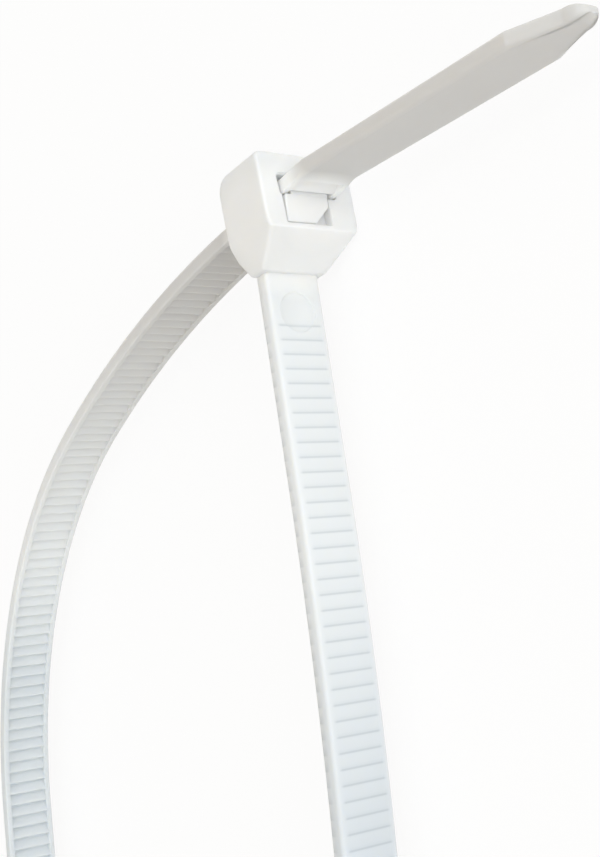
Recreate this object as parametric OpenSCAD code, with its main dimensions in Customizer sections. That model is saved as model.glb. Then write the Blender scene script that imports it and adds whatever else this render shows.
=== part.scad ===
// Self-locking nylon cable tie, closed into a loop with its tail through the head.
// The loop lies in the XY plane and the head stands on its side face at Z = 0.
// +X is the way that the tail leaves the head, and -Y the way that the strap leaves its root.
// The origin is under the middle of the passage, on the head's side face.

/* [Tie] */
// Overall length when straight, from the back of the head to the tip
tie_length = 280; // [265:1:320]
// Width of the strap
strap_w = 4.8; // [4.2:0.1:5.2]
// Thickness of the strap over its rails
strap_t = 1.2; // [1.1:0.05:1.4]
// Bevel along the edges of the outer face
edge_bevel = 0.3; // [0.1:0.05:0.4]

/* [Teeth] */
// Distance from one tooth to the next
tooth_pitch = 1.09; // [1:0.01:1.3]
// Height of a tooth above the floor of the channel
tooth_h = 0.42; // [0.3:0.02:0.5]
// Length of the flat crest of a tooth
tooth_crest = 0.12; // [0.05:0.01:0.2]
// Lean of the steep, locking side of a tooth
tooth_lean = 0.06; // [0:0.01:0.1]
// Flat floor between two teeth
tooth_gap = 0.14; // [0.08:0.01:0.2]
// Drop of the crests below the rails
crest_drop = 0.05; // [0.02:0.01:0.1]
// Width of the rail on each side of the teeth
rail_w = 0.5; // [0.35:0.05:0.7]

/* [Loop] */
// Lean of the strap towards the loop where it leaves the head, in degrees
root_lean = 3.3; // [0:0.1:6]
// Straight stretch after the root
near_straight = 15; // [8:1:25]
// Radius of the long, slight bow after it
near_bow_r = 290; // [200:10:500]
// Turn of that bow, in degrees
near_bow_turn = 5.1; // [3:0.1:8]
// Radius of the side of the loop that faces the head
side_r = 40.4; // [36:0.1:46]
// Turn of that side, in degrees
side_turn = 60.5; // [56:0.5:64]
// Radius of the slack stretch that runs up to the head
top_r = 98; // [84:1:120]
// Turn of that stretch, in degrees
top_turn = 17.7; // [14:0.1:21]

/* [Tail] */
// Thickness of the smooth tail
tail_t = 1.05; // [0.9:0.05:1.1]
// Length of tail past the exit face of the head
tail_out = 27.9; // [20:0.1:36]
// Length of the taper at the end of the tail
taper_l = 4.8; // [4:0.1:8]
// Width of the tail where the rounded tip begins
tip_w = 2.7; // [2:0.1:3.6]
// Length of the rounded tip
tip_round = 0.9; // [0.6:0.1:1.6]
// Width of the flat at its very end
tip_flat = 1; // [0.6:0.1:1.6]
// How far past the exit face the toothed strap may reach
tooth_out = 1.8; // [1.4:0.1:3]
// Length over which the strap then thins to the tail
thin_l = 1.6; // [0.8:0.1:2.5]
// Bevel round the edges of the tail's inner face
tail_bevel = 0.4; // [0.1:0.05:0.45]
// Bevel round the edges of the tail's outer face
tail_edge = 0.15; // [0.05:0.05:0.3]
// Straight run of the tail past the exit face, before its slight bend
tail_rise = 1.6; // [1:0.1:3]
// Radius of that bend
tail_bend_r = 8; // [6:1:20]
// Turn of that bend, in degrees
tail_bend = 8.6; // [2:0.1:14]

/* [Head] */
// Width of the head, across the strap
head_w = 8.2; // [7.4:0.1:9]
// Height of the head, from its entry face to its exit face
head_h = 5.3; // [5:0.1:6]
// Reach of the head behind the middle of the passage
head_back = 2.85; // [2.5:0.05:3.4]
// Reach of the exit face in front of the middle of the passage
exit_front = 3; // [2.9:0.05:3.4]
// Reach of the sloping front down to the strap
root_reach = 5; // [4.7:0.1:6]
// Step down from the sloping front to the strap
root_step = 0.4; // [0.2:0.05:0.7]
// Width of the head where the strap leaves it
root_w = 5.8; // [5.3:0.1:6.5]
// How far the entry face stands below the inner face of the strap
entry_lip = 0.45; // [0.3:0.05:0.8]
// Rounding of the back of the entry face
entry_round = 1.5; // [0.6:0.1:1.8]
// Slope at the front of the entry face, up to the strap
entry_slope = 1.2; // [0.8:0.1:2]
// Rounding of the other edges of the head
edge_round = 0.3; // [0.2:0.05:0.5]
// Rounding of the corners seen from the exit side
corner_round = 0.9; // [0.5:0.1:1.2]
// How far behind the exit face's front edge the head begins to narrow
shoulder_back = 0.4; // [0.2:0.1:0.8]
// Diameter of the shallow ejector mark beside the head
mark_d = 3.1; // [2.5:0.1:3.6]
// Distance from the head to the middle of the mark
mark_s = 2.9; // [2:0.1:3.6]
// Depth of that mark
mark_depth = 0.08; // [0.05:0.01:0.12]
// Smooth stretch between the head and the first tooth
root_smooth = 3.65; // [3:0.01:5]

/* [Passage] */
// Tilt of the strap in the passage, in degrees
passage_tilt = 4.1; // [3:0.1:6]
// Clearance between the strap and the passage on each side
side_clear = 0.2; // [0.1:0.05:0.3]
// Clearance behind the strap, at its smooth outer face
back_clear = 0.3; // [0.15:0.05:0.5]
// Clearance between the rails and the ledges in front of them
front_clear = 0.1; // [0.05:0.05:0.2]
// Flare of the entry, for the tip to find its way
entry_flare = 0.7; // [0.3:0.1:0.9]

/* [Pawl] */
// Width of the pawl
pawl_w = 3.8; // [3.4:0.1:4.1]
// Gap on each side of the pawl
pawl_gap = 0.2; // [0.1:0.05:0.25]
// Thickness of the wall in front of the pawl at the exit face
lip_wall = 0.35; // [0.3:0.05:0.45]
// Teeth on the pawl
pawl_teeth = 2; // [1:1:2]
// Running clearance between the teeth of the pawl and of the strap
mesh_clear = 0.06; // [0.04:0.01:0.1]
// Thickness of the hinge that carries the pawl
hinge_t = 0.9; // [0.6:0.05:1.1]
// Height of that hinge above the entry face
hinge_up = 1.2; // [0.9:0.05:1.5]
// Fall of the pawl's free end, from the strap to its front
pawl_fall = 0.5; // [0:0.1:0.9]
// Corner cut off the front of the pawl, on one side
pawl_cut = 1.4; // [0.6:0.1:1.6]
// How far the pawl stands to the other side of the passage's middle
pawl_side = 0.35; // [0:0.05:0.4]

/* [Hidden] */
$fn = 96;
nylon = [0.93, 0.94, 0.93];
// Overlap that makes two shapes one solid
bite = 0.1;
// Segments of each small rounding
round_steps = 6;

// Places across the strap, measured from its middle towards the outer face
outer_face = strap_t / 2;
rail_face = -strap_t / 2;
crest_face = rail_face + crest_drop;
floor_face = crest_face + tooth_h;
tail_face = outer_face - tail_t;
channel_half = strap_w / 2 - rail_w;
// The strap runs half-way up the head's width
strap_z = head_w / 2;

// Path of the strap, root first; it turns clockwise, with the outer face on the left
near_x = -head_h / 2 + entry_lip + strap_t / 2;
entry_run = 5.4;
exit_run = (head_h / 2 + tail_rise) / cos(passage_tilt);
tail_straight = tail_out - tail_rise - tail_bend_r * tail_bend * PI / 180;
root = [near_x, -root_reach, -90 - root_lean, 0];
entry = [-entry_run * cos(passage_tilt), -entry_run * sin(passage_tilt), passage_tilt, 0];

function arc_length(r, turn) = r * turn * PI / 180;
function left(h) = [-sin(h), cos(h)];
function ahead(h) = [cos(h), sin(h)];
function xy(p) = [p[0], p[1]];
// Where a run of a length and a curvature ends: x, y, heading and distance from the root
function advance(p, l, k) =
    k == 0
    ? let (e = xy(p) + l * ahead(p[2])) [e[0], e[1], p[2], p[3] + l]
    : let (h = p[2] - l * k * 180 / PI, e = xy(p) + (left(h) - left(p[2])) / k)
      [e[0], e[1], h, p[3] + l];
// Two-by-two solution of u * a + v * b = c
function cross2(a, b) = a[0] * b[1] - a[1] * b[0];
function solve2(u, v, c) = [cross2(c, v) / cross2(u, v), cross2(u, c) / cross2(u, v)];

// The bottom bend closes the loop: its radius and the straight after it follow from the drop before it
near_end = advance(advance(root, near_straight, 0), arc_length(near_bow_r, near_bow_turn), 1 / near_bow_r);
side_start = advance(advance(entry, -arc_length(top_r, top_turn), 1 / top_r),
    -arc_length(side_r, side_turn), 1 / side_r);
bottom_turn = near_end[2] - side_start[2] + 360;
function closing(drop) = solve2(left(side_start[2]) - left(near_end[2]), ahead(side_start[2]),
    xy(side_start) - xy(near_end) - drop * ahead(near_end[2]));
function loop_length(drop) = drop + closing(drop)[1] + arc_length(closing(drop)[0], bottom_turn);
fixed_length = head_back + root_reach + near_straight + arc_length(near_bow_r, near_bow_turn)
    + arc_length(side_r, side_turn) + arc_length(top_r, top_turn)
    + entry_run + exit_run + tail_out - tail_rise;
near_drop = (tie_length - fixed_length - loop_length(0)) / (loop_length(1) - loop_length(0));
bottom_r = closing(near_drop)[0];
side_drop = closing(near_drop)[1];

// Length and curvature of each run, and where each one starts
runs = [
    [near_straight, 0],
    [arc_length(near_bow_r, near_bow_turn), 1 / near_bow_r],
    [near_drop, 0],
    [arc_length(bottom_r, bottom_turn), 1 / bottom_r],
    [side_drop, 0],
    [arc_length(side_r, side_turn), 1 / side_r],
    [arc_length(top_r, top_turn), 1 / top_r],
    [entry_run + exit_run, 0],
    [arc_length(tail_bend_r, tail_bend), 1 / tail_bend_r],
    [tail_straight, 0]
];
starts = [for (i = 0, p = root; i <= len(runs); p = i < len(runs) ? advance(p, runs[i][0], runs[i][1]) : p,
    i = i + 1) p];
passage_s = starts[7][3] + entry_run;
tip_s = starts[10][3];

// A point at a distance along the strap and an offset across it
function run_at(s) = max([for (i = [0 : len(runs) - 1]) if (i == 0 || starts[i][3] <= s) i]);
function on_strap(s, off) =
    let (i = run_at(s), p = advance(starts[i], s - starts[i][3], runs[i][1])) xy(p) + off * left(p[2]);

// Teeth run from the root mark through the head; after the last whole tooth the strap thins to the tail
tooth_count = floor((passage_s + head_h / 2 + tooth_out - root_smooth) / tooth_pitch);
teeth_end_s = root_smooth + tooth_count * tooth_pitch;
ramp_l = tooth_pitch - tooth_gap - tooth_crest - tooth_lean;
// Small bevel along the rails
rail_bevel = 0.08;
// Largest turn between two rings of points, in degrees
ring_turn = 4;
// How far the strap's start is buried in the head
root_bury = 0.8;

// A corner of an outline rounded by a radius; the points of its arc
function corner(a, b, c, r) =
    let (u = (a - b) / norm(a - b), v = (c - b) / norm(c - b), half = acos(u * v) / 2, d = r / tan(half),
        m = b + (u + v) / norm(u + v) * r / sin(half), p = b + u * d - m, q = b + v * d - m,
        turn = sign(cross2(p, q)) * acos(p * q / (r * r)))
    r == 0 ? [b] : [for (i = [0 : round_steps]) let (t = turn * i / round_steps)
        m + [p[0] * cos(t) - p[1] * sin(t), p[0] * sin(t) + p[1] * cos(t)]];
// Outline from corners given as x, y, radius
function outline(c) = [for (i = [0 : len(c) - 1], p = corner(xy(c[(i + len(c) - 1) % len(c)]), xy(c[i]),
    xy(c[(i + 1) % len(c)]), c[i][2])) p];

// Width of the strap: constant, then tapering to a rounded tip
function half_width(s) =
    let (d = tip_s - s, tip_half = tip_w / 2)
    d >= taper_l ? strap_w / 2
    : d >= tip_round ? tip_half + (strap_w / 2 - tip_half) * (d - tip_round) / (taper_l - tip_round)
    : tip_flat / 2 + (tip_half - tip_flat / 2) * sqrt(1 - pow(1 - d / tip_round, 2));
// Section of the strap at a distance from the root: offset across it, then height over its middle line
function section(s) =
    let (half = half_width(s), smooth = min(1, max(0, (s - teeth_end_s) / thin_l)),
        thinner = tip_s - s < tail_bevel / 2 ? tail_t / 3 : 0, share = thinner > 0 ? 1 / 2 : 1,
        top = outer_face - thinner, low = rail_face + (tail_face - rail_face) * smooth + thinner,
        out_bevel = (edge_bevel + (tail_edge - edge_bevel) * smooth) * share,
        in_bevel = (rail_bevel + (tail_bevel - rail_bevel) * smooth) * share)
    [[low, in_bevel - half], [low + in_bevel, -half], [top - out_bevel, -half], [top, out_bevel - half],
    [top, half - out_bevel], [top - out_bevel, half], [low + in_bevel, half], [low, half - in_bevel]];

// Distances at which the strap has a ring of points: often on a bend, rarely on a straight
function run_rings(i) = let (n = max(1, ceil(runs[i][0] * runs[i][1] * 180 / PI / ring_turn)))
    [for (j = [0 : n - 1]) starts[i][3] + runs[i][0] * j / n];
function ordered(v) = len(v) < 2 ? v : let (m = v[floor(len(v) / 2)])
    concat(ordered([for (a = v) if (a < m) a]), [m], ordered([for (a = v) if (a > m) a]));
rings = ordered(concat(
    [-root_bury], [for (i = [0 : len(runs) - 1]) each run_rings(i)],
    [teeth_end_s, teeth_end_s + thin_l, tip_s - taper_l],
    [for (j = [round_steps : -1 : 0]) tip_s - tip_round * (1 - cos(90 * j / round_steps))]));

// The strap's body, one skin over all its rings
module strap_body() {
    count = len(section(0));
    last = len(rings) - 1;
    points = [for (s = rings, q = section(s)) concat(on_strap(s, q[0]), [strap_z + q[1]])];
    sides = [for (i = [0 : last - 1], j = [0 : count - 1])
        let (a = i * count + j, b = i * count + (j + 1) % count) each [[a, b + count, b], [a, a + count, b + count]]];
    ends = [[for (j = [0 : count - 1]) j], [for (j = [count - 1 : -1 : 0]) last * count + j]];
    polyhedron(points, concat(sides, ends));
}

// The channel between the rails, cut with its ladder of teeth standing in it:
// the steep side of each tooth faces the root, and its ramp runs down towards the tip
module toothed_channel() {
    outside = rail_face - bite;
    teeth = [for (n = [0 : tooth_count - 1], p = [
        [-tooth_gap, floor_face], [0, floor_face], [tooth_lean, crest_face],
        [tooth_lean + tooth_crest, crest_face]]) [root_smooth + n * tooth_pitch + p[0], p[1]]];
    back = [for (n = [tooth_count : -1 : 0]) [root_smooth + n * tooth_pitch - tooth_gap, outside]];
    translate([0, 0, strap_z - channel_half])
        linear_extrude(2 * channel_half)
            polygon([for (p = concat(teeth, [[teeth_end_s - tooth_gap, floor_face]], back)) on_strap(p[0], p[1])]);
}

// Head seen along Z, with the slope from the exit face down to the strap
side_outline = outline([
    [-head_h / 2, head_back, entry_round],
    [-head_h / 2, -root_reach + entry_slope, 2 * edge_round],
    [near_x + rail_face, -root_reach, 0],
    [near_x + outer_face + root_step, -root_reach, edge_round / 2],
    [head_h / 2, -exit_front, edge_round / 2],
    [head_h / 2, head_back, edge_round]
]);
// Head seen along X, as wide as the strap where that leaves it
plan_outline = outline([
    [-root_reach, -root_w / 2, 0], [shoulder_back - exit_front, -head_w / 2, corner_round],
    [head_back, -head_w / 2, corner_round / 2], [head_back, head_w / 2, corner_round / 2],
    [shoulder_back - exit_front, head_w / 2, corner_round], [-root_reach, root_w / 2, 0]
]);

module head_block() {
    intersection() {
        linear_extrude(head_w) polygon(side_outline);
        translate([-head_h, 0, strap_z]) rotate([90, 0, 90]) linear_extrude(2 * head_h) polygon(plan_outline);
    }
}

// Places in the passage, which is tilted with the strap
module in_passage() {
    translate([0, 0, strap_z]) rotate(passage_tilt) children();
}
// A shape across the passage, of a full width
module across(width) {
    translate([0, 0, -width / 2]) linear_extrude(width) children();
}
slot_back = outer_face + back_clear;
slot_front = rail_face - front_clear;
far_off = 2 * head_h;

// Passage for the strap, flared at the entry
module slot() {
    flare_u = head_h / 2 - 2 * entry_flare;
    in_passage() across(strap_w + 2 * side_clear) polygon([
        [-far_off, slot_back + entry_flare], [-head_h / 2, slot_back + entry_flare], [-flare_u, slot_back],
        [far_off, slot_back], [far_off, slot_front], [-flare_u, slot_front],
        [-head_h / 2, slot_front - entry_flare / 2], [-far_off, slot_front - entry_flare / 2]]);
}

// Window in front of the slot, where the pawl can swing
window_front = -exit_front + lip_wall - head_h / 2 * tan(passage_tilt);
hinge_u = -head_h / 2 + hinge_up;
module window() {
    under = window_front + hinge_t + pawl_gap;
    in_passage() translate([0, 0, pawl_side]) across(pawl_w + 2 * pawl_gap) polygon([
        [hinge_u + hinge_t / 2, window_front], [far_off, window_front], [far_off, slot_front + bite],
        [-far_off, slot_front + bite], [-far_off, under], [hinge_u - hinge_t / 2, under]]);
}

// Pawl: a tongue hinged on the front wall near the entry, with teeth towards the strap. Its free end
// stands at the first tooth past the exit face and falls away from the strap, and one front corner is cut off
teeth_end_u = teeth_end_s - passage_s;
first_lock = floor((teeth_end_u - mesh_clear - head_h / 2) / tooth_pitch);
function lock_u(n) = teeth_end_u - n * tooth_pitch - mesh_clear;
pawl_top = lock_u(first_lock);
pawl_tip = floor_face - mesh_clear;
pawl_front = window_front + pawl_gap;
pawl_face = slot_front + front_clear / 3;
module pawl() {
    in_passage() difference() {
        union() {
            translate([0, 0, pawl_side]) across(pawl_w) polygon([
                [hinge_u - hinge_t / 2, window_front - bite], [hinge_u - hinge_t / 2, window_front + hinge_t],
                [hinge_u + hinge_t / 4, pawl_face - hinge_t / 3], [hinge_u + hinge_t, pawl_face],
                [pawl_top + bite, pawl_face], [pawl_top + bite, pawl_front],
                [hinge_u + hinge_t / 2, pawl_front], [hinge_u + hinge_t / 2, window_front - bite]]);
            pawl_rack();
        }
        across(2 * head_w) polygon([
            end_point(pawl_tip + 2 * bite), [far_off, pawl_tip + 2 * bite],
            [far_off, pawl_front - bite], end_point(pawl_front - bite)]);
        translate([hinge_u + hinge_t, pawl_front, pawl_side - pawl_w / 2]) rotate([90, 0, 90])
            linear_extrude(head_h) polygon([[-bite, -bite], [pawl_cut, -bite], [-bite, pawl_cut]]);
    }
}
// Point of the sloping free end at an offset across the strap
function end_point(off) = [pawl_top - pawl_fall * (pawl_tip - off) / (pawl_tip - pawl_front), off];

// Each tooth of the pawl stands in a gap of the strap, on the root side of a tooth
module pawl_rack() {
    low_side = max(pawl_gap - channel_half, pawl_side - pawl_w / 2);
    high_side = min(channel_half - pawl_gap, pawl_side + pawl_w / 2);
    fall = (pawl_tip - pawl_face + bite) * ramp_l / tooth_h;
    for (n = [first_lock : first_lock + pawl_teeth - 1])
        translate([0, 0, low_side]) linear_extrude(high_side - low_side) polygon([
            [lock_u(n), pawl_tip], [lock_u(n) - tooth_gap / 2, pawl_tip],
            [lock_u(n) - tooth_gap / 2 - fall, pawl_face - bite], [lock_u(n) + tooth_lean, pawl_face - bite]]);
}

// Shallow round mark on the outer face, between the head and the first tooth
module ejector_mark() {
    p = advance(root, mark_s, 0);
    translate([p[0], p[1], strap_z]) rotate([0, 90, p[2] + 90])
        translate([0, 0, outer_face - mark_depth]) cylinder(h = mark_depth + bite, d = mark_d);
}

module cable_tie() {
    color(nylon) {
        difference() {
            head_block();
            slot();
            window();
        }
        pawl();
        difference() {
            strap_body();
            toothed_channel();
            ejector_mark();
        }
    }
}

cable_tie();
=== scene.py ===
import math

import bpy
import numpy as np
from mathutils import Matrix, Vector
from mathutils.kdtree import KDTree


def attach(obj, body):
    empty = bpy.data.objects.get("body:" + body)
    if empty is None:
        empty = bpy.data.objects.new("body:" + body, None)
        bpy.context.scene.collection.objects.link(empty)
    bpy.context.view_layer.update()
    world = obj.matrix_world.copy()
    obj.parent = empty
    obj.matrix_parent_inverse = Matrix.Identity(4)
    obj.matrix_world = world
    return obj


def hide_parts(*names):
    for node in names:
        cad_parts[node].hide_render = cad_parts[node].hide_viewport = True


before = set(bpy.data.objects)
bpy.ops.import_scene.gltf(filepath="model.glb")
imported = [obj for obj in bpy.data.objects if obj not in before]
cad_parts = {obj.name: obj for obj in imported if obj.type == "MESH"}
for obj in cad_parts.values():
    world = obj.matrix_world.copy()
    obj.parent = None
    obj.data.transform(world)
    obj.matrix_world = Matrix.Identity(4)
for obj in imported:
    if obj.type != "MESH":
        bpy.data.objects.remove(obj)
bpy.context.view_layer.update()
scene = bpy.context.scene
mm = 0.001


# camera

cameraSettings = {
    "place": (74.744, -38.848, 64.192),  # mm
    "right": (0.56456, -0.18268, -0.80492),
    "up": (0.28907, 0.95720, -0.01449),
    "back": (0.77312, -0.22450, 0.59320),
    "lens": 58.135,
    "nearest": 0.002,
}


def makeCamera(c):
    data = bpy.data.cameras.new("camera")
    data.lens = c["lens"]
    data.clip_start = c["nearest"]
    camera = bpy.data.objects.new("camera", data)
    scene.collection.objects.link(camera)
    turn = Matrix((c["right"], c["up"], c["back"])).transposed()
    camera.matrix_world = Matrix.Translation(Vector(c["place"]) * mm) @ turn.to_4x4()
    scene.camera = camera


makeCamera(cameraSettings)
print("camera set")


# path of the strap, in millimetres, root first

loopSettings = {
    "tieLength": 280.0,
    "rootLean": 3.3,
    "rootReach": 5.0,
    "nearStraight": 15.0,
    "nearBow": (290.0, 5.1),  # radius, turn
    "side": (40.4, 60.5),
    "top": (98.0, 17.7),
    "entryRun": 5.4,
    "tilt": 4.1,
    "tailOut": 27.9,
    "tailRise": 1.6,
    "tailBend": (8.0, 8.6),
}
strapSettings = {
    "width": 4.8,
    "thick": 1.2,
    "outerRound": 0.3,
    "railRound": 0.1,
    "railWidth": 0.5,
    "buried": 0.8,
    "tailThick": 1.05,
    "tailRim": 0.4,
    "tailEdge": 0.15,
    "thinning": 1.6,
    "taper": 4.8,
    "tipWidth": 2.2,
    "tipRound": 1.4,
    "tipFlat": 0.45,
    "drawnIn": 0.02,  # keeps the loop's round outer face inside the source's chords
    "tipThin": 1.1,
    "smoothStart": 3.65,
    "toothOut": 1.8,
}
toothSettings = {
    "pitch": 1.09,
    "height": 0.42,
    "crest": 0.12,
    "lean": 0.06,
    "gap": 0.14,
    "drop": 0.05,
    "round": 0.035,
}
headSettings = {
    "width": 8.2,
    "height": 5.3,
    "back": 2.85,
    "front": 3.0,
    "reach": 5.0,
    "step": 0.4,
    "rootWidth": 5.8,
    "entryLip": 0.45,
    "entryRound": 1.5,
    "entrySlope": 1.2,
    "edgeRound": 0.3,
    "sideRound": 0.22,
    "shoulder": 2.6,
    "shoulderRound": 0.9,
    "backRound": 0.45,
    "fine": 0.3,
}


def arcLength(r, turn):
    return r * math.radians(turn)


def advance(p, length, curve):
    """Where a run ends: straight on, or round a circle of that curvature, clockwise."""
    x, y, h, s = p
    if curve == 0:
        return (x + length * math.cos(h), y + length * math.sin(h), h, s + length)
    g = h - length * curve
    return (x + (math.sin(h) - math.sin(g)) / curve, y + (math.cos(g) - math.cos(h)) / curve, g, s + length)


def solveTwo(u, v, c):
    d = u[0] * v[1] - u[1] * v[0]
    return (c[0] * v[1] - c[1] * v[0]) / d, (u[0] * c[1] - u[1] * c[0]) / d


def leftOf(h):
    return np.array([-np.sin(h), np.cos(h)])


def aheadOf(h):
    return np.array([np.cos(h), np.sin(h)])


def makePath(loop, strap, head):
    """Runs of constant curvature, each with its start; the bottom bend closes the loop at the wanted length."""
    nearX = -head["height"] / 2 + head["entryLip"] + strap["thick"] / 2
    root = (nearX, -loop["rootReach"], math.radians(-90 - loop["rootLean"]), 0.0)
    tilt = math.radians(loop["tilt"])
    entry = (-loop["entryRun"] * math.cos(tilt), -loop["entryRun"] * math.sin(tilt), tilt, 0.0)
    bowR, bowTurn = loop["nearBow"]
    sideR, sideTurn = loop["side"]
    topR, topTurn = loop["top"]
    bendR, bendTurn = loop["tailBend"]
    bow, side, top = arcLength(bowR, bowTurn), arcLength(sideR, sideTurn), arcLength(topR, topTurn)
    nearEnd = advance(advance(root, loop["nearStraight"], 0), bow, 1 / bowR)
    sideStart = advance(advance(entry, -top, 1 / topR), -side, 1 / sideR)
    bottomTurn = nearEnd[2] - sideStart[2] + 2 * math.pi

    def closing(drop):
        between = np.array(sideStart[:2]) - np.array(nearEnd[:2]) - drop * aheadOf(nearEnd[2])
        return solveTwo(leftOf(sideStart[2]) - leftOf(nearEnd[2]), aheadOf(sideStart[2]), between)

    def bottomLength(drop):
        return drop + closing(drop)[1] + closing(drop)[0] * bottomTurn

    exitRun = (head["height"] / 2 + loop["tailRise"]) / math.cos(tilt)
    fixed = (head["back"] + loop["rootReach"] + loop["nearStraight"] + bow + side + top
             + loop["entryRun"] + exitRun + loop["tailOut"] - loop["tailRise"])
    drop = (loop["tieLength"] - fixed - bottomLength(0)) / (bottomLength(1) - bottomLength(0))
    bottomR, sideDrop = closing(drop)
    bend = arcLength(bendR, bendTurn)
    runs = [
        (loop["nearStraight"], 0), (bow, 1 / bowR), (drop, 0), (bottomR * bottomTurn, 1 / bottomR),
        (sideDrop, 0), (side, 1 / sideR), (top, 1 / topR), (loop["entryRun"] + exitRun, 0),
        (bend, 1 / bendR), (loop["tailOut"] - loop["tailRise"] - bend, 0),
    ]
    starts = [root]
    for length, curve in runs:
        starts.append(advance(starts[-1], length, curve))
    return runs, np.array(starts), starts[7][3] + loop["entryRun"]


runs, starts, passageS = makePath(loopSettings, strapSettings, headSettings)
tipS = starts[-1, 3]
strapZ = headSettings["width"] / 2


def alongPath(s):
    """Point and heading at each distance from the root, by the run that holds it."""
    i = np.clip(np.searchsorted(starts[:-1, 3], s, side="right") - 1, 0, len(runs) - 1)
    k = np.array([r[1] for r in runs])[i]
    x, y, h, s0 = starts[i].T
    d = s - s0
    g = h - d * k
    safe = np.where(k == 0, 1, k)
    px = np.where(k == 0, x + d * np.cos(h), x + (np.sin(h) - np.sin(g)) / safe)
    py = np.where(k == 0, y + d * np.sin(h), y + (np.cos(g) - np.cos(h)) / safe)
    return px, py, g


print("path", round(tipS, 2), "mm, passage at", round(passageS, 2))


# meshes

def gridFaces(rows, columns, closedRows=False):
    """Quads of a grid whose columns close on themselves, and whose rows may."""
    r = np.arange(rows if closedRows else rows - 1)[:, None] * np.ones(columns, int)
    c = np.arange(columns)[None, :] * np.ones(len(r), int)[:, None]
    d, e = (r + 1) % rows, (c + 1) % columns
    quads = np.stack([r * columns + c, r * columns + e, d * columns + e, d * columns + c], -1)
    return quads.reshape(-1, 4)


def signedVolume(points, faces):
    total = 0.0
    for f in faces:
        f = np.asarray(f)
        a = points[f[:, :1]]
        for k in range(1, f.shape[1] - 1):
            total += np.sum(a[:, 0] * np.cross(points[f[:, k]], points[f[:, k + 1]]))
    return total / 6


def makeTube(name, rings):
    """Closed skin over rings of points (ring, place round it, xyz), in millimetres, with a flat cap on each end."""
    rows, columns = rings.shape[:2]
    points = rings.reshape(-1, 3)
    quads = gridFaces(rows, columns)
    caps = [np.arange(columns)[::-1], (rows - 1) * columns + np.arange(columns)]
    centre = points.mean(0)
    volume = signedVolume(points - centre, [quads, caps[0][None], caps[1][None]])
    if volume < 0:
        quads = quads[:, ::-1]
        caps = [c[::-1] for c in caps]
    mesh = bpy.data.meshes.new(name)
    mesh.from_pydata((points * mm).tolist(), [], quads.tolist() + [c.tolist() for c in caps])
    mesh.validate()
    piece = bpy.data.objects.new(name, mesh)
    scene.collection.objects.link(piece)
    return piece


def combine(piece, other, how):
    """piece joined with other, or cut by it; other is used up."""
    cut = piece.modifiers.new("cut", "BOOLEAN")
    cut.object, cut.operation, cut.solver = other, how, "MANIFOLD"
    graph = bpy.context.evaluated_depsgraph_get()
    made = bpy.data.meshes.new_from_object(piece.evaluated_get(graph))
    piece.modifiers.clear()
    old = piece.data
    piece.data = made
    bpy.data.meshes.remove(old)
    bpy.data.meshes.remove(other.data)
    if len(made.polygons) == 0:
        raise RuntimeError(f"nothing is left of {piece.name}")
    return piece


def roundedOutline(corners, inset=0.0, steps=6, fine=None):
    """Convex outline from corners (x, y, radius) in order, moved inwards, with each corner an arc and
    each side cut into short lengths."""
    c = np.array(corners, float)
    n = len(c)
    side = np.roll(c[:, :2], -1, 0) - c[:, :2]
    full = np.linalg.norm(side, axis=1)
    side /= full[:, None]
    area = np.sum(c[:, 0] * np.roll(c[:, 1], -1) - np.roll(c[:, 0], -1) * c[:, 1])
    inward = np.stack([-side[:, 1], side[:, 0]], 1) * np.sign(area)
    moved = c[:, :2] + inward * inset
    points = []
    for i in range(n):
        a, b = (i - 1) % n, i
        m = np.stack([side[a], -side[b]], 1)
        t = np.linalg.solve(m, moved[b] - moved[a])
        c[i, :2] = moved[a] + side[a] * t[0]
    for i in range(n):
        u, v = -side[(i - 1) % n], side[i]
        half = math.acos(np.clip(u @ v, -1, 1)) / 2
        r = max(c[i, 2] - inset, 0.03)
        centre = c[i, :2] + (u + v) / np.linalg.norm(u + v) * r / math.sin(half)
        first, last = c[i, :2] + u * r / math.tan(half) - centre, c[i, :2] + v * r / math.tan(half) - centre
        turn = math.copysign(math.pi - 2 * half, first[0] * last[1] - first[1] * last[0])
        t = np.linspace(0, turn, steps + 1)[:, None]
        points.append(centre + first * np.cos(t) + np.array([-first[1], first[0]]) * np.sin(t))
        if fine:
            j = (i + 1) % n
            count = max(1, int(full[i] / fine))
            w = -side[i]
            x = side[j]
            nextHalf = math.acos(np.clip(w @ x, -1, 1)) / 2
            end = c[j, :2] + w * max(c[j, 2] - inset, 0.03) / math.tan(nextHalf)
            k = np.linspace(0, 1, count + 1)[1:-1, None]
            points.append(points[-1][-1] * (1 - k) + end * k)
    return np.concatenate(points)


# strap

def toothProfile(tooth, railFace, count, first):
    """Distance and depth of the toothed floor: a steep side, a short crest and a ramp for each tooth, with
    each corner a small bend of three points."""
    crest = railFace + tooth["drop"]
    floor = crest + tooth["height"]
    one = np.array([[-tooth["gap"], floor], [0, floor], [tooth["lean"], crest],
                    [tooth["lean"] + tooth["crest"], crest]])
    before = np.roll(one, 1, 0)
    before[0] = [one[3, 0] - tooth["pitch"], crest]
    after = np.roll(one, -1, 0)
    after[3] = [tooth["pitch"] - tooth["gap"], floor]
    toBefore = (before - one) / np.linalg.norm(before - one, axis=1)[:, None]
    toAfter = (after - one) / np.linalg.norm(after - one, axis=1)[:, None]
    p, q = one + toBefore * tooth["round"], one + toAfter * tooth["round"]
    bends = np.stack([p, p / 4 + one / 2 + q / 4, q], 1).reshape(-1, 2)
    places = first + np.arange(count) * tooth["pitch"]
    profile = np.tile(bends, (count, 1, 1))
    profile[:, :, 0] += places[:, None]
    return profile.reshape(-1, 2), floor


teethCount = int((passageS + headSettings["height"] / 2 + strapSettings["toothOut"] - strapSettings["smoothStart"])
                 / toothSettings["pitch"])


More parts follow.
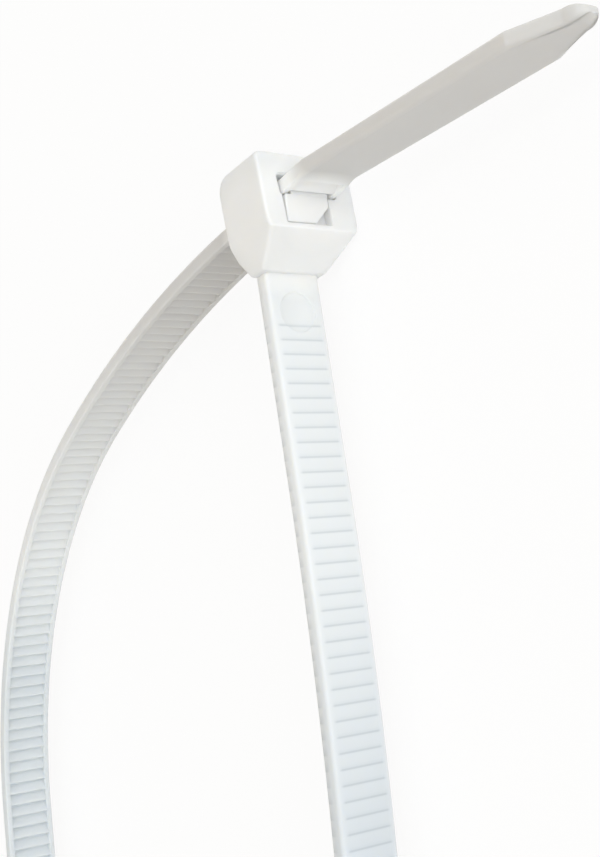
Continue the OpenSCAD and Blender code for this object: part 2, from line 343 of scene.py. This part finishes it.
def strapRings(strap, tooth, loop, head):
    """Rings of the strap: at each distance, a section of round-edged outer face, sides, two rails, channel
    walls and floor, whose depth follows the teeth."""
    outerFace, railFace = strap["thick"] / 2 - strap["drawnIn"], -strap["thick"] / 2
    tailFace = outerFace - strap["tailThick"]
    first = strap["smoothStart"]
    teethEnd = first + teethCount * tooth["pitch"]
    count = teethCount
    profile, floor = toothProfile(tooth, railFace, count, first)
    early = np.array([[-strap["buried"], floor], [0.4, floor], [1.5, floor], [2.6, floor]])
    endS = teethEnd - tooth["gap"]
    lateS = np.array([endS, teethEnd, teethEnd + 0.25 * strap["thinning"], teethEnd + 0.5 * strap["thinning"],
                      teethEnd + 0.75 * strap["thinning"], teethEnd + strap["thinning"]])
    late = np.stack([lateS, np.where(lateS < teethEnd + 0.01, floor, railFace)], 1)
    tail = np.arange(teethEnd + strap["thinning"] + 0.3, tipS - strap["taper"] - 0.2, 0.3)
    taper = tipS - strap["taper"] + np.linspace(-0.2, 0.6, 9)
    slope = np.linspace(tipS - strap["taper"] + 0.8, tipS - strap["tipRound"] - 0.1, 10)
    tip = tipS - strap["tipRound"] * (1 - np.cos(np.linspace(math.pi / 2, 0.1, 16)))
    s = np.concatenate([early[:, 0], profile[:, 0], late[:, 0], tail, taper, slope, tip])
    rest = len(s) - len(early) - len(profile) - len(late)
    depth = np.concatenate([early[:, 1], profile[:, 1], late[:, 1], np.full(rest, railFace)])

    d = tipS - s
    k = np.clip((d - strap["tipRound"]) / (strap["taper"] - strap["tipRound"]), 0, 1)
    half = strap["tipWidth"] / 2 + (strap["width"] - strap["tipWidth"]) / 2 * k
    end = np.clip(1 - d / strap["tipRound"], 0, 1)
    flat = strap["tipFlat"] / 2
    half = np.where(d < strap["tipRound"], flat + (strap["tipWidth"] / 2 - flat) * np.sqrt(1 - end ** 2), half)
    smooth = np.clip((s - teethEnd) / strap["thinning"], 0, 1)
    smooth = smooth * smooth * (3 - 2 * smooth)
    flatEnd = np.clip(1 - d / strap["tipThin"], 0, 1)
    thick = 1 - 0.6 * flatEnd ** 2
    low = railFace + (tailFace - railFace) * smooth
    middle = (outerFace + low) / 2
    low = middle + (low - middle) * thick
    top = middle + (outerFace - middle) * thick
    depth = np.where(s > teethEnd - 0.001, low + (floor - railFace) * np.clip(1 - (s - teethEnd) / 0.15, 0, 1), depth)
    outR = (strap["outerRound"] + (strap["tailEdge"] - strap["outerRound"]) * smooth) * thick
    inR = (strap["railRound"] + (strap["tailRim"] - strap["railRound"]) * smooth) * thick
    outR, inR = np.minimum(outR, half * 0.9), np.minimum(inR, half * 0.9)
    channel = half * (1 - 2 * strap["railWidth"] / strap["width"])
    a = np.radians(np.linspace(90, 0, 7))[None]
    b = np.radians(np.linspace(0, 90, 4))[None]
    col = lambda v: v[:, None]
    off = np.concatenate([
        col(top), col(top - outR) + col(outR) * np.sin(a), col(low + inR) - col(inR) * np.sin(b),
        col(low), col(low + 0.12 * (depth - low)), col(depth - 0.12 * (depth - low)), col(depth)], 1)
    across = np.concatenate([
        col(half * 0), col(half - outR) + col(outR) * np.cos(a), col(half - inR) + col(inR) * np.cos(b),
        col(channel + 0.03 * half), col(channel), col(channel - 0.012 * half), col(channel - 0.03 * half)], 1)
    off = np.concatenate([off, off[:, -1:], off[:, :0:-1]], 1)
    across = np.concatenate([across, across[:, -1:] * 0, -across[:, :0:-1]], 1)
    x, y, h = alongPath(s)
    return np.stack([x[:, None] - np.sin(h)[:, None] * off, y[:, None] + np.cos(h)[:, None] * off,
                     strapZ + across], -1)


def makeStrap():
    return makeTube("strap", strapRings(strapSettings, toothSettings, loopSettings, headSettings))


# head

passageSettings = {
    "sideClear": 0.12,
    "backClear": 0.3,
    "frontClear": 0.1,
    "flare": 0.7,
    "cornerRound": 0.25,
    "rimRound": 0.14,
    "windowWidth": 4.1,
    "lipWall": 0.35,
    "hingeThick": 0.9,
    "hingeUp": 1.2,
    "filled": (-1.7, 1.75),  # light comes through the nylon there, so the mouths are only this deep
}
pawlSettings = {
    "width": 3.8,
    "gap": 0.14,
    "teeth": 2,
    "fall": 0.5,
    "cut": 1.4,
    "side": 0.35,
    "meshClear": 0.06,
    "round": 0.14,
}
markSettings = {"diameter": 3.1, "depth": 0.14, "place": 2.9, "lip": 0.1}


def headHalfWidth(y, head):
    """Half the head's width at each y: full, narrowing evenly from a rounded shoulder to the strap, and
    rounded into the back face."""
    full, low = head["width"] / 2, head["rootWidth"] / 2
    slope = (full - low) / (head["reach"] - head["shoulder"])
    soft = 0.35
    past = -head["shoulder"] - y
    narrowing = slope * (past + np.sqrt(past ** 2 + soft ** 2)) / 2
    r = head["backRound"]
    back = np.clip((y - (head["back"] - r)) / r, 0, 1)
    return full - narrowing - r * (1 - np.sqrt(1 - back ** 2 * 0.999))


def headRings(head, strap):
    """Rings of the head, stacked across its width: the side outline, moved in round each side edge, then
    drawn together to the middle of each side face."""
    nearX = -head["height"] / 2 + head["entryLip"] + strap["thick"] / 2
    h = head["height"] / 2
    corners = [
        (-h, head["back"], head["entryRound"]),
        (-h, -head["reach"] + head["entrySlope"], head["edgeRound"] * 2),
        (nearX - strap["thick"] / 2, -head["reach"], 0.1),
        (nearX + strap["thick"] / 2 + head["step"], -head["reach"], 0.2),
        (h, -head["front"], head["edgeRound"] * 0.6),
        (h, head["back"], head["edgeRound"]),
    ]
    r = head["sideRound"]
    angles = np.radians(np.linspace(0, 90, 6))
    rings, levels, insets = [], [], []
    base = roundedOutline(corners, 0, 6, head["fine"])
    for level in np.linspace(0, 1, 14)[:-1]:
        rings.append(base)
        levels.append(level)
        insets.append(0.0)
    for a in angles:
        rings.append(roundedOutline(corners, r * (1 - math.cos(a)), 6, head["fine"]))
        levels.append(1.0)
        insets.append(r * (1 - math.sin(a)))
    middle = rings[-1].mean(0)
    for k in np.linspace(1, 0.02, 12)[1:]:
        rings.append(middle + (rings[len(levels) - 1] - middle) * k if False else middle + (roundedOutline(corners, r, 6, head["fine"]) - middle) * k)
        levels.append(1.0)
        insets.append(0.0)
    xy = np.stack(rings)
    z = (headHalfWidth(xy[:, :, 1], head) - r) * np.array(levels)[:, None]
    z = z + np.where(np.array(levels) == 1, r - np.array(insets), 0)[:, None]
    upper = np.concatenate([xy, (strapZ + z)[:, :, None]], 2)
    lower = np.concatenate([xy, (strapZ - z)[:, :, None]], 2)
    return np.concatenate([lower[:0:-1], upper])


def inPassage(u, v, z):
    """Points given along and across the tilted passage."""
    t = math.radians(loopSettings["tilt"])
    return np.stack([u * math.cos(t) - v * math.sin(t), u * math.sin(t) + v * math.cos(t), strapZ + z], -1)


def openingRings(low, high, width, levels, grow, r, aside=0.0):
    """Rounded rectangle carried along the passage, growing by the given amount at each level."""
    rings = []
    for u, g in zip(levels, grow):
        corners = [(low - g, -width / 2 - g, r + g), (high + g, -width / 2 - g, r + g),
                   (high + g, width / 2 + g, r + g), (low - g, width / 2 + g, r + g)]
        p = roundedOutline(corners, 0, 5)
        rings.append(inPassage(np.full(len(p), u), p[:, 0], p[:, 1] + aside))
    return np.stack(rings)


def makeHead(head, strap, passage, pawl):
    block = makeTube("tieBody", headRings(head, strap))
    h = head["height"] / 2
    slotBack = strap["thick"] / 2 + passage["backClear"]
    slotFront = -strap["thick"] / 2 - passage["frontClear"]
    rim = passage["rimRound"]
    a = np.radians(np.linspace(0, 85, 6))
    exitU = h - rim + rim * np.sin(a)
    exitGrow = rim * (1 - np.cos(a))
    flareU = h - 2 * passage["flare"]
    levels = np.concatenate([[-9, -h], -flareU + np.array([-0.1, 0, 0.15]), exitU, [9]])
    grow = np.concatenate([[0.35, 0.35], [0.06, 0.02, 0], exitGrow, [exitGrow[-1]]])
    slotTool = makeTube("slotTool", openingRings(slotFront, slotBack, strap["width"] + 2 * passage["sideClear"],
                                                 levels, grow, passage["cornerRound"]))
    combine(block, slotTool, "DIFFERENCE")
    tilt = math.tan(math.radians(loopSettings["tilt"]))
    windowFront = -head["front"] + passage["lipWall"] - h * tilt
    hingeU = -h + passage["hingeUp"]
    upper = openingRings(windowFront, slotFront + 0.4, passage["windowWidth"],
                         np.concatenate([[hingeU + passage["hingeThick"] / 2], exitU, [9]]),
                         np.concatenate([[0], exitGrow, [exitGrow[-1]]]), 0.2, pawl["side"])
    combine(block, makeTube("windowTool", upper), "DIFFERENCE")
    under = windowFront + passage["hingeThick"] + pawl["gap"]
    lower = openingRings(under, slotFront + 0.4, passage["windowWidth"],
                         np.array([-9, hingeU + passage["hingeThick"]]), np.array([0, 0]), 0.2, pawl["side"])
    combine(block, makeTube("underTool", lower), "DIFFERENCE")
    return block, windowFront, slotFront, hingeU


def prismRings(profile, low, high, r):
    """Closed profile (along, across the passage) carried over a width, its ends drawn in to round the edges."""
    p = np.array(profile, float)
    before, after = np.roll(p, 1, 0) - p, np.roll(p, -1, 0) - p
    before /= np.linalg.norm(before, axis=1)[:, None]
    after /= np.linalg.norm(after, axis=1)[:, None]
    area = np.sum(p[:, 0] * np.roll(p[:, 1], -1) - np.roll(p[:, 0], -1) * p[:, 1])
    normal = np.stack([after[:, 1] - before[:, 1], before[:, 0] - after[:, 0]], 1) * -np.sign(area)
    normal /= np.maximum(np.linalg.norm(normal, axis=1), 1e-6)[:, None]
    angles = np.radians(np.linspace(90, 0, 5))
    z = np.concatenate([low + r * (1 - np.sin(angles)), high - r * (1 - np.sin(angles[::-1]))])
    inset = np.concatenate([r * (1 - np.cos(angles)), r * (1 - np.cos(angles[::-1]))])
    rings = p[None] + normal[None] * inset[:, None, None]
    return inPassage(rings[:, :, 0], rings[:, :, 1], z[:, None] * np.ones(len(p)))


def softened(points, r, steps=3):
    """Outline with each corner replaced by a short curve: a bend between two points near the corner."""
    p = np.array(points, float)
    before, after = np.roll(p, 1, 0), np.roll(p, -1, 0)
    db, da = np.linalg.norm(before - p, axis=1), np.linalg.norm(after - p, axis=1)
    rb, ra = np.minimum(r, db * 0.45), np.minimum(r, da * 0.45)
    a = p + (before - p) * (rb / db)[:, None]
    b = p + (after - p) * (ra / da)[:, None]
    t = np.linspace(0, 1, steps + 1)[None, :, None]
    return (a[:, None] * (1 - t) ** 2 + 2 * p[:, None] * t * (1 - t) + b[:, None] * t ** 2).reshape(-1, 2)


def makePawl(head, strap, tooth, passage, pawl, windowFront, slotFront, hingeU):
    """Tongue from the hinge to the first tooth past the exit face, its end sloping, with a corner cut off."""
    channel = strap["width"] / 2 - strap["railWidth"]
    tip = -strap["thick"] / 2 + tooth["drop"] + tooth["height"] - pawl["meshClear"]
    teethEnd = strap["smoothStart"] + teethCount * tooth["pitch"] - passageS - pawl["meshClear"]
    firstLock = math.floor((teethEnd - head["height"] / 2) / tooth["pitch"])
    top = teethEnd - firstLock * tooth["pitch"]
    front = windowFront + pawl["gap"]
    face = slotFront + passage["frontClear"] / 3
    thick = passage["hingeThick"]
    low, high = pawl["side"] - pawl["width"] / 2, pawl["side"] + pawl["width"] / 2
    rackLow, rackHigh = max(pawl["gap"] - channel, low), min(channel - pawl["gap"], high)
    atFace = top - pawl["fall"] * (tip - face) / (tip - front)
    profile = [
        (hingeU - thick / 2, windowFront - 0.15), (hingeU - thick / 2, windowFront + thick),
        (hingeU + thick / 4, face - thick / 3), (hingeU + thick, face), (atFace, face),
        (top - pawl["fall"], front), (hingeU + thick / 2, front), (hingeU + thick / 2, windowFront - 0.15)]
    body = makeTube("pawlTool", prismRings(softened(profile, pawl["round"]), low, high, 0.12))
    corner = softened([(front - 0.3, low - 0.3), (front + pawl["cut"], low - 0.3), (front + pawl["cut"] - 0.1, low),
                       (front, low + pawl["cut"] - 0.1), (front - 0.3, low + pawl["cut"])], 0.1, 2)
    levels = np.array([hingeU + thick, 9.0])[:, None] * np.ones(len(corner))
    combine(body, makeTube("cornerTool", inPassage(levels, np.tile(corner[:, 0], (2, 1)), np.tile(corner[:, 1], (2, 1)))),
            "DIFFERENCE")
    ramp = tooth["pitch"] - tooth["gap"] - tooth["crest"] - tooth["lean"]
    fall = (tip - face + 0.1) * ramp / tooth["height"]
    for n in range(pawl["teeth"]):
        u = top - n * tooth["pitch"]
        foot = u + tooth["lean"] if n else atFace - 0.05
        one = [(u, tip), (u - tooth["gap"] / 2, tip), (u - tooth["gap"] / 2 - fall, face - 0.1), (foot, face - 0.1)]
        rack = makeTube("rackTool", prismRings(softened(one, 0.03, 2), rackLow, rackHigh, 0.04))
        combine(body, rack, "UNION")
    return body


def markRings(mark, strap):
    """Shallow disc that cuts the ejector mark: a circle carried outwards from its floor, growing at the lip."""
    x, y, h = alongPath(np.array([mark["place"]]))
    t = np.linspace(0, 2 * math.pi, 49)[:-1]
    face = strap["thick"] / 2
    rings = []
    for off, r in [(face - mark["depth"], mark["diameter"] / 2 - mark["lip"]),
                   (face - mark["depth"] * 0.7, mark["diameter"] / 2 - 0.3 * mark["lip"]),
                   (face + 0.02, mark["diameter"] / 2 + 0.2 * mark["lip"]), (face + 0.3, mark["diameter"] / 2 + 0.2 * mark["lip"])]:
        rings.append(np.stack([x - np.sin(h) * off + np.cos(h) * r * np.cos(t),
                               y + np.cos(h) * off + np.sin(h) * r * np.cos(t), strapZ + r * np.sin(t)], -1))
    return np.stack(rings)


def placeInStrap(points):
    """For each point: distance from the root, place across the strap and height over its middle, in mm; points
    off the strap count as the root's."""
    along = np.arange(0, tipS, 0.05)
    x, y, h = alongPath(along)
    tree = KDTree(len(along))
    for i in range(len(along)):
        tree.insert((x[i], y[i], 0), i)
    tree.balance()
    nearest = np.array([tree.find((p[0], p[1], 0))[1] for p in points])
    dx, dy = points[:, 0] - x[nearest], points[:, 1] - y[nearest]
    c, n = np.cos(h[nearest]), np.sin(h[nearest])
    place = np.stack([along[nearest] + dx * c + dy * n, points[:, 2] - strapZ, dy * c - dx * n], 1)
    half = strapSettings["thick"] / 2 + 0.02
    onStrap = (np.abs(place[:, 2]) < half) & (np.abs(place[:, 1]) < strapSettings["width"] / 2 + 0.02)
    return place * onStrap[:, None]


nylonSettings = {
    "headPale": (0.92, 0.925, 0.925, 1),
    # painted light: the pawl is coloured paler, standing in for light that comes through the passage
    "pawlPaintedLight": (0.99, 0.99, 0.99, 1),
    # distance from the root in mm, colour: bluish near the root, then painted shade: greyer round the loop, paler
    # again before the tail, greyest in the tail
    "strapColourAndShade": ((0.0, (0.87, 0.895, 0.915)), (20.0, (0.86, 0.885, 0.905)), (42.0, (0.74, 0.78, 0.82)),
                  (176.0, (0.75, 0.79, 0.82)), (190.0, (0.86, 0.88, 0.89)), (226.0, (0.71, 0.705, 0.7))),
    "pawlLightCentre": (0.003, -0.0017, 0.00375),
    "pawlLightRadius": (0.002, 0.0034),
    "cloudScale": 60,
    "cloudShare": 0.02,
    "grainScale": 900,
    "roughness": (0.3, 0.38),
    "bumpDepth": 0.000003,
    "scatter": 0.85,
    "scatterRadius": (0.0004, 0.0008),
    "translucent": 0.05,
    "clearStrap": 0.15,
    "clearHead": 0.03,
    "headCentre": (0.0, -0.001, 0.0041),
    "headRadius": (0.0045, 0.0062),
    # painted shade of a tooth seen through the strap: place in the pitch, darkness
    "seen": ((0.0, 0.9), (0.07, 0.1), (0.16, 0.0), (0.7, 0.08), (0.88, 0.35), (0.95, 1.0)),
    "seenAtSide": ((0.0, 0.8), (0.1, 0.0), (0.35, 0.0), (0.97, 1.0)),
    "sideFades": (50.0, 110.0),  # mm from the root: beyond it the sides look plain
    "seenShade": (0.79, 0.81, 0.825, 1),
    "seenShift": 0.32,  # mm along the strap, by which the slanting view moves the teeth
    "softEdge": 0.15,
}


def nylonMaterial(n, strap, tooth):
    """Milky nylon: light scatters under the skin, the strap is painted less white than the head with painted shade
    along it, painted light sits on the pawl, and the teeth behind the outer face are painted as soft dark lines."""
    m = bpy.data.materials.new("nylon")
    m.use_nodes = True
    nodes, links = m.node_tree.nodes, m.node_tree.links
    nodes.clear()

    def plug(value, socket):
        if isinstance(value, bpy.types.NodeSocket):
            links.new(value, socket)
        else:
            socket.default_value = value

    def calc(how, a, b=0.0, clamp=False):
        node = nodes.new("ShaderNodeMath")
        node.operation = how
        node.use_clamp = clamp
        plug(a, node.inputs[0])
        plug(b, node.inputs[1])
        return node.outputs[0]

    def between(value, low, high, toLow=0.0, toHigh=1.0):
        node = nodes.new("ShaderNodeMapRange")
        plug(value, node.inputs["Value"])
        node.inputs["From Min"].default_value, node.inputs["From Max"].default_value = low, high
        node.inputs["To Min"].default_value, node.inputs["To Max"].default_value = toLow, toHigh
        return node.outputs["Result"]

    def blend(how, share, a, b):
        node = nodes.new("ShaderNodeMix")
        node.data_type = "RGBA"
        node.blend_type = how
        plug(share, node.inputs[0])
        plug(a, node.inputs[6])
        plug(b, node.inputs[7])
        return node.outputs[2]

    def ramp(value, stops):
        node = nodes.new("ShaderNodeValToRGB")
        for i, (place, colour) in enumerate(stops):
            stop = node.color_ramp.elements[i] if i < 2 else node.color_ramp.elements.new(place)
            stop.position, stop.color = place, colour
        links.new(value, node.inputs["Fac"])
        return node.outputs["Color"]

    def noise(scale, detail):
        node = nodes.new("ShaderNodeTexNoise")
        node.inputs["Scale"].default_value = scale
        node.inputs["Detail"].default_value = detail
        links.new(objectPlace, node.inputs["Vector"])
        return node.outputs["Fac"]

    out = nodes.new("ShaderNodeOutputMaterial")
    shader = nodes.new("ShaderNodeBsdfPrincipled")
    objectPlace = nodes.new("ShaderNodeTexCoord").outputs["Object"]
    inStrap = nodes.new("ShaderNodeAttribute")
    inStrap.attribute_name = "strapPlace"
    parts = nodes.new("ShaderNodeSeparateXYZ")
    links.new(inStrap.outputs["Vector"], parts.inputs[0])
    along, across, height = parts.outputs

    def farFrom(centre, radii):
        away = nodes.new("ShaderNodeVectorMath")
        away.operation = "DISTANCE"
        away.inputs[1].default_value = centre
        links.new(objectPlace, away.inputs[0])
        return between(away.outputs["Value"], *radii)

    fromHead = farFrom(n["headCentre"], n["headRadius"])
    pawlLightShare = farFrom(n["pawlLightCentre"], n["pawlLightRadius"])

    # painted shade of the teeth seen through the outer face and through the sides
    firstSeen = strap["smoothStart"] + n["seenShift"]
    inPitch = calc("FRACT", calc("DIVIDE", calc("SUBTRACT", along, firstSeen), tooth["pitch"]))
    seen = ramp(inPitch, [(place, (dark, dark, dark, 1)) for place, dark in n["seen"]])
    channel = strap["width"] / 2 - strap["railWidth"]
    soft = n["softEdge"]
    overTeeth = between(calc("ABSOLUTE", across), channel - soft, channel + soft, 1.0, 0.0)
    teethEnd = strap["smoothStart"] + teethCount * tooth["pitch"]
    toothed = calc("MULTIPLY", between(along, firstSeen - 0.25, firstSeen - 0.15),
                   between(along, teethEnd - 0.1, teethEnd, 1.0, 0.0))
    outside = between(height, 0.0, strap["thick"] / 2)
    shade = calc("MULTIPLY", calc("MULTIPLY", overTeeth, toothed), calc("MULTIPLY", outside, seen))

    last = n["strapColourAndShade"][-1][0]
    # painted shade: the strap's colour greys round the loop and in the tail
    strapTintAndShade = ramp(calc("DIVIDE", along, last), [(place / last, (*colour, 1)) for place, colour in n["strapColourAndShade"]])
    # painted light: the head's colour turns paler round the pawl
    headTintAndPawlLight = blend("MIX", pawlLightShare, n["pawlPaintedLight"], n["headPale"])
    tint = blend("MIX", fromHead, headTintAndPawlLight, strapTintAndShade)
    clouds = between(noise(n["cloudScale"], 1), 0.3, 0.7, 1 - n["cloudShare"], 1.0)
    tint = blend("MULTIPLY", 1.0, tint, clouds)
    atSide = ramp(inPitch, [(place, (dark, dark, dark, 1)) for place, dark in n["seenAtSide"]])
    overSide = between(calc("ABSOLUTE", across), strap["width"] / 2 - 0.15, strap["width"] / 2 - 0.05)
    lowSide = between(height, 0.05, -strap["thick"] / 2)
    nearRoot = calc("MULTIPLY", toothed, between(along, *n["sideFades"], 1.0, 0.0))
    shadeAtSide = calc("MULTIPLY", calc("MULTIPLY", overSide, nearRoot), calc("MULTIPLY", lowSide, atSide))
    # painted shade: the teeth seen through the strap darken its colour in lines
    tint = blend("MULTIPLY", calc("ADD", shade, shadeAtSide, True), tint, n["seenShade"])
    links.new(tint, shader.inputs["Base Color"])

    grain = noise(n["grainScale"], 2)
    links.new(between(grain, 0.3, 0.7, *n["roughness"]), shader.inputs["Roughness"])
    bump = nodes.new("ShaderNodeBump")
    bump.inputs["Strength"].default_value = 1.0
    bump.inputs["Distance"].default_value = n["bumpDepth"]
    links.new(grain, bump.inputs["Height"])
    links.new(bump.outputs["Normal"], shader.inputs["Normal"])
    shader.subsurface_method = "RANDOM_WALK"
    shader.inputs["Subsurface Weight"].default_value = n["scatter"]
    shader.inputs["Subsurface Radius"].default_value = (1.0, 0.95, 0.85)
    links.new(between(fromHead, 0.0, 1.0, *n["scatterRadius"]), shader.inputs["Subsurface Scale"])
    shader.inputs["IOR"].default_value = 1.5

    glow = nodes.new("ShaderNodeBsdfTranslucent")
    links.new(tint, glow.inputs["Color"])
    body = nodes.new("ShaderNodeMixShader")
    body.inputs["Fac"].default_value = n["translucent"]
    links.new(shader.outputs["BSDF"], body.inputs[1])
    links.new(glow.outputs["BSDF"], body.inputs[2])
    through = nodes.new("ShaderNodeBsdfTransparent")
    whole = nodes.new("ShaderNodeMixShader")
    links.new(between(fromHead, 0.0, 1.0, n["clearHead"], n["clearStrap"]), whole.inputs["Fac"])
    links.new(body.outputs["Shader"], whole.inputs[1])
    links.new(through.outputs["BSDF"], whole.inputs[2])
    links.new(whole.outputs["Shader"], out.inputs["Surface"])
    return m


block, windowFront, slotFront, hingeU = makeHead(headSettings, strapSettings, passageSettings, pawlSettings)
print("head", len(block.data.polygons))
pawlBody = makePawl(headSettings, strapSettings, toothSettings, passageSettings, pawlSettings, windowFront, slotFront, hingeU)
combine(block, pawlBody, "UNION")
print("pawl", len(block.data.polygons))
strapPiece = makeStrap()
combine(strapPiece, makeTube("markTool", markRings(markSettings, strapSettings)), "DIFFERENCE")
print("strap", len(strapPiece.data.polygons))
combine(block, strapPiece, "UNION")
filling = openingRings(windowFront - 0.1, strapSettings["thick"] / 2 + passageSettings["backClear"] + 0.1,
                       strapSettings["width"] + 0.5, np.array(passageSettings["filled"]), np.array([0, 0]), 0.1)
combine(block, makeTube("filling", filling), "UNION")
tieBody = block
print("tie body", len(tieBody.data.polygons))
tieBody.data.shade_smooth()
tieBody.data.set_sharp_from_angle(angle=math.radians(38))
tieBody.data.materials.clear()
tieBody.data.materials.append(nylonMaterial(nylonSettings, strapSettings, toothSettings))
points = np.empty(len(tieBody.data.vertices) * 3, np.float32)
tieBody.data.vertices.foreach_get("co", points)
placed = tieBody.data.attributes.new("strapPlace", "FLOAT_VECTOR", "POINT")
placed.data.foreach_set("vector", placeInStrap(points.reshape(-1, 3) / mm).astype(np.float32).ravel())
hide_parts("cable_tie")
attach(tieBody, "root")


# floor, world and lamps

stageSettings = {
    "floorHalf": 3.0,
    "floorColour": (0.95, 0.95, 0.95, 1),
    "shadowShare": 0.12,
    "allRound": (0.71, 0.71, 0.705),
    "fromAxes": ((0.5, 0.57, 0.62), (-0.06, -0.06, -0.05), (0.22, 0.19, 0.13)),
    "lamps": [
        # place, size, watts, colour
        ((0.33, 0.1, 0.46), 0.06, 0.17, (1.0, 0.99, 0.97)),
        ((0.6, -0.05, 0.16), 0.25, 0.45, (1.0, 1.0, 1.0)),
    ],
}


def seenRays(nodes, links):
    """1 for the rays that show the background: straight to the camera, mirrored, or through the object."""
    path = nodes.new("ShaderNodeLightPath")
    mirrored = nodes.new("ShaderNodeMath")
    mirrored.operation = "MAXIMUM"
    either = nodes.new("ShaderNodeMath")
    either.operation = "MAXIMUM"
    links.new(path.outputs["Is Camera Ray"], mirrored.inputs[0])
    links.new(path.outputs["Is Glossy Ray"], mirrored.inputs[1])
    links.new(mirrored.outputs[0], either.inputs[0])
    links.new(path.outputs["Is Transmission Ray"], either.inputs[1])
    return either.outputs[0]


def makeFloor(settings):
    h = settings["floorHalf"]
    mesh = bpy.data.meshes.new("floor")
    mesh.from_pydata([(-h, -h, 0), (h, -h, 0), (h, h, 0), (-h, h, 0)], [], [(0, 1, 2, 3)])
    floor = bpy.data.objects.new("floor", mesh)
    scene.collection.objects.link(floor)
    m = bpy.data.materials.new("floor")
    m.use_nodes = True
    nodes, links = m.node_tree.nodes, m.node_tree.links
    nodes.clear()
    out = nodes.new("ShaderNodeOutputMaterial")
    mix = nodes.new("ShaderNodeMixShader")
    pale = nodes.new("ShaderNodeBsdfDiffuse")
    pale.inputs["Color"].default_value = settings["floorColour"]
    glow = nodes.new("ShaderNodeEmission")
    glow.inputs["Strength"].default_value = 1.0
    share = nodes.new("ShaderNodeMath")
    share.operation = "MULTIPLY"
    share.inputs[1].default_value = 1 - settings["shadowShare"]
    links.new(seenRays(nodes, links), share.inputs[0])
    links.new(share.outputs[0], mix.inputs["Fac"])
    links.new(pale.outputs[0], mix.inputs[1])
    links.new(glow.outputs[0], mix.inputs[2])
    links.new(mix.outputs[0], out.inputs["Surface"])
    mesh.materials.append(m)


def makeWorld(settings):
    world = bpy.data.worlds.new("studio")
    scene.world = world
    world.use_nodes = True
    nodes, links = world.node_tree.nodes, world.node_tree.links
    nodes.clear()
    out = nodes.new("ShaderNodeOutputWorld")
    mix = nodes.new("ShaderNodeMixShader")
    parts = nodes.new("ShaderNodeSeparateXYZ")
    links.new(nodes.new("ShaderNodeTexCoord").outputs["Generated"], parts.inputs[0])
    light = settings["allRound"]
    for axis, more in zip(parts.outputs, settings["fromAxes"]):
        step = nodes.new("ShaderNodeVectorMath")
        step.operation = "MULTIPLY_ADD"
        step.inputs[1].default_value = more
        links.new(axis, step.inputs[0])
        if isinstance(light, tuple):
            step.inputs[2].default_value = light
        else:
            links.new(light, step.inputs[2])
        light = step.outputs[0]
    soft = nodes.new("ShaderNodeBackground")
    links.new(light, soft.inputs["Color"])
    white = nodes.new("ShaderNodeBackground")
    white.inputs["Color"].default_value = (1, 1, 1, 1)
    white.inputs["Strength"].default_value = 1.0
    links.new(seenRays(nodes, links), mix.inputs["Fac"])
    links.new(soft.outputs[0], mix.inputs[1])
    links.new(white.outputs[0], mix.inputs[2])
    links.new(mix.outputs[0], out.inputs["Surface"])


def makeLamps(settings):
    for place, size, watts, colour in settings["lamps"]:
        data = bpy.data.lights.new("lamp", "AREA")
        data.size, data.energy, data.color = size, watts, colour
        lamp = bpy.data.objects.new("lamp", data)
        scene.collection.objects.link(lamp)
        lamp.location = place
        lamp.rotation_mode = "QUATERNION"
        lamp.rotation_quaternion = (Vector(place) - Vector((-0.02, -0.03, 0))).to_track_quat("Z", "Y")


makeFloor(stageSettings)
makeWorld(stageSettings)
makeLamps(stageSettings)
scene.view_settings.view_transform = "Standard"
print("floor, world and lamps")
